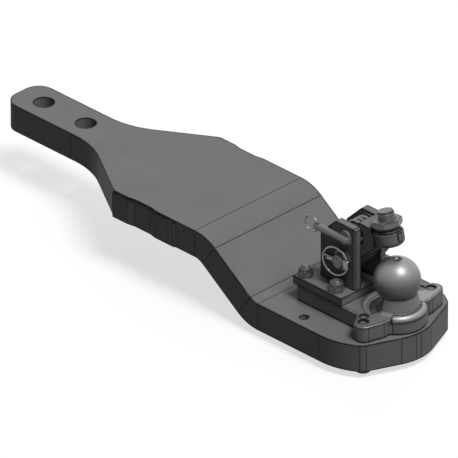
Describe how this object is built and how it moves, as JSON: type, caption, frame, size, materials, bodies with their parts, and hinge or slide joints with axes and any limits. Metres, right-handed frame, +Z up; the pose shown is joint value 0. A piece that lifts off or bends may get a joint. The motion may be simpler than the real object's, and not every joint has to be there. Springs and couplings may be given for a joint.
{
  "type": "swinging drawbar with ball hitch and hold-down",
  "caption": "Thick cranked drawbar plate with pin holes, a bolted hitch ball on a forged block and a hinged, pin-locked hold-down lever with a set screw above the ball.",
  "frame": {"origin": "on the axis of the front pin hole, at the arm's top face", "axes": "+X along the drawbar to the ball, +Z up, the linch pin and the cross bar on the -Y side"},
  "size_m": [0.9435, 0.257, 0.2641],
  "materials": {
    "grey_paint": "satin grey",
    "forged_steel": "machined",
    "fastener_steel": "plain",
    "bright_plate": "bright plated",
    "bearing_bronze": "plain"
  },
  "bodies": {
    "drawbar": {"drawbar_plate": "grey_paint", "ball_block": "forged_steel", "hold_down_base": "grey_paint", "cheek_near": "grey_paint", "cheek_far": "grey_paint", "hinge_bolt": "fastener_steel", "hinge_washer": "fastener_steel", "linch_washer": "fastener_steel", "linch_pin": "bright_plate", "lock_spring": "bright_plate", "clamp_bolt_1": "fastener_steel", "clamp_washer_1": "fastener_steel", "lock_nut_1": "fastener_steel", "clamp_bolt_2": "fastener_steel", "clamp_washer_2": "fastener_steel", "lock_nut_2": "fastener_steel", "clamp_bolt_3": "fastener_steel", "clamp_washer_3": "fastener_steel", "lock_nut_3": "fastener_steel", "clamp_bolt_4": "fastener_steel", "clamp_washer_4": "fastener_steel", "lock_nut_4": "fastener_steel", "lobe_bolt_near": "fastener_steel", "lobe_washer_near": "fastener_steel", "dowel_near": "fastener_steel", "lobe_bolt_far": "fastener_steel", "lobe_washer_far": "fastener_steel", "dowel_far": "fastener_steel"},
    "hold_down": {"hold_down_lever": "grey_paint", "lever_bush": "bearing_bronze", "adjusting_screw": "fastener_steel", "jam_nut": "fastener_steel"},
    "lock_pin": {"lock_pin": "fastener_steel", "lock_bar": "fastener_steel", "spring_washer": "fastener_steel", "retaining_clip": "fastener_steel"},
    "lock_ring": {"lock_ring": "bright_plate"},
    "linch_ring": {"linch_ring": "bright_plate"}
  },
  "joints": [
    {"name": "hold_down_swing", "type": "hinge", "parent": "drawbar", "child": "hold_down", "pos_m": [0.745, 0, 0.0155], "axis": [0, 1, 0], "range_deg": [0, 12]},
    {"name": "lock_pin_pull", "type": "slide", "parent": "drawbar", "child": "lock_pin", "axis": [0, -1, 0], "range_m": [0, 0.012], "stiffness_N_per_m": 6000, "springref_m": -0.012, "deforming": ["lock_spring"]},
    {"name": "lock_ring_turn", "type": "hinge", "parent": "lock_pin", "child": "lock_ring", "pos_m": [0.694, -0.0475, 0.062], "axis": [0, 0, 1], "range_deg": [-60, 80]},
    {"name": "linch_ring_swing", "type": "hinge", "parent": "drawbar", "child": "linch_ring", "pos_m": [0.76343, -0.047, 0.01711], "axis": [-0.0872, 0, 0.9962], "range_deg": [0, 100], "stiffness_Nm_per_rad": 0.02, "springref_deg": -28.65}
  ]
}
